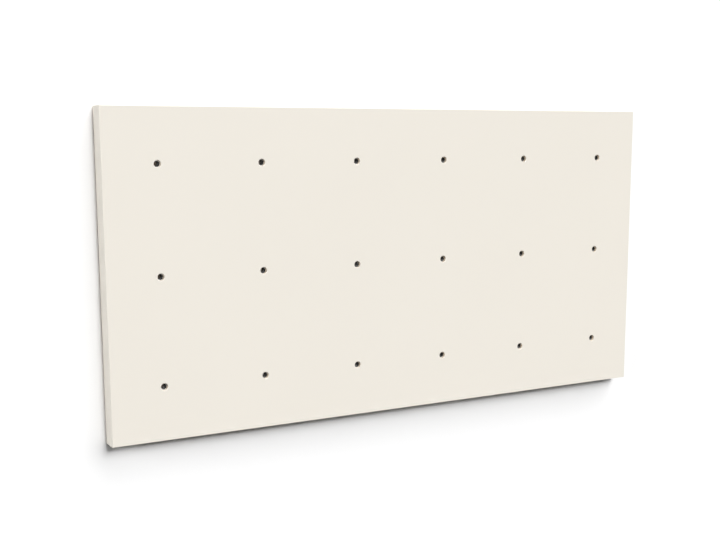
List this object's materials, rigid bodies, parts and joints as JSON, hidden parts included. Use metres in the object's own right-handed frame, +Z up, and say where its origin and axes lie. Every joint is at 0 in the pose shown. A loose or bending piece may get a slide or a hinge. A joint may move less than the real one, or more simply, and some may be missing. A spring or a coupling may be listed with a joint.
{
  "type": "climbing wall panel",
  "caption": "Cream plywood climbing board with a square grid of M10 inserts for holds, on a frame that lifts off hidden wall hook rails.",
  "frame": {"origin": "the middle of the upper wall hook's back face, in the plane of the wall. The panel's middle is 237 mm below it", "axes": "+Z up, +X to the right as one faces the panel, +Y into the wall: the cream front faces -Y at y = -40 mm"},
  "size_m": [1.2, 0.04, 0.6],
  "materials": {
    "cream_laminate": "cream high pressure laminate with a fine matt texture",
    "cream_edging": "cream edging strip, matt",
    "birch_plywood": "birch plywood, sanded, thin clear lacquer",
    "frame_plywood": "birch plywood strips, sanded",
    "zinc_plated_steel": "bright zinc plating",
    "screw_steel": "yellow zinc plating",
    "hook_aluminium": "extruded aluminium, natural mill finish"
  },
  "bodies": {
    "wall_hooks": {"upper_wall_hook": "hook_aluminium", "lower_wall_hook": "hook_aluminium"},
    "panel": {"face_laminate": "cream_laminate", "face_board": "birch_plywood", "left_edge_band": "cream_edging", "right_edge_band": "cream_edging", "top_edge_band": "cream_edging", "bottom_edge_band": "cream_edging", "top_rail": "frame_plywood", "bottom_rail": "frame_plywood", "left_stile": "frame_plywood", "mid_stile_left": "frame_plywood", "mid_stile_right": "frame_plywood", "right_stile": "frame_plywood", "t_nut_r1_c1": "zinc_plated_steel", "t_nut_r1_c2": "zinc_plated_steel", "t_nut_r1_c3": "zinc_plated_steel", "t_nut_r1_c4": "zinc_plated_steel", "t_nut_r1_c5": "zinc_plated_steel", "t_nut_r1_c6": "zinc_plated_steel", "t_nut_r2_c1": "zinc_plated_steel", "t_nut_r2_c2": "zinc_plated_steel", "t_nut_r2_c3": "zinc_plated_steel", "t_nut_r2_c4": "zinc_plated_steel", "t_nut_r2_c5": "zinc_plated_steel", "t_nut_r2_c6": "zinc_plated_steel", "t_nut_r3_c1": "zinc_plated_steel", "t_nut_r3_c2": "zinc_plated_steel", "t_nut_r3_c3": "zinc_plated_steel", "t_nut_r3_c4": "zinc_plated_steel", "t_nut_r3_c5": "zinc_plated_steel", "t_nut_r3_c6": "zinc_plated_steel", "frame_screw_01": "screw_steel", "frame_screw_02": "screw_steel", "frame_screw_03": "screw_steel", "frame_screw_04": "screw_steel", "frame_screw_05": "screw_steel", "frame_screw_06": "screw_steel", "frame_screw_07": "screw_steel", "frame_screw_08": "screw_steel", "frame_screw_09": "screw_steel", "frame_screw_10": "screw_steel", "frame_screw_11": "screw_steel", "frame_screw_12": "screw_steel", "frame_screw_13": "screw_steel", "frame_screw_14": "screw_steel", "hook_screw_01": "screw_steel", "hook_screw_02": "screw_steel", "hook_screw_03": "screw_steel", "hook_screw_04": "screw_steel", "hook_screw_05": "screw_steel", "hook_screw_06": "screw_steel", "hook_screw_07": "screw_steel", "hook_screw_08": "screw_steel", "hook_screw_09": "screw_steel", "hook_screw_10": "screw_steel", "upper_panel_hook": "hook_aluminium", "lower_panel_hook": "hook_aluminium"}
  },
  "joints": [
    {"name": "panel_lift", "type": "slide", "parent": "wall_hooks", "child": "panel", "axis": [0, 0, 1], "range_m": [0, 0.012]}
  ]
}
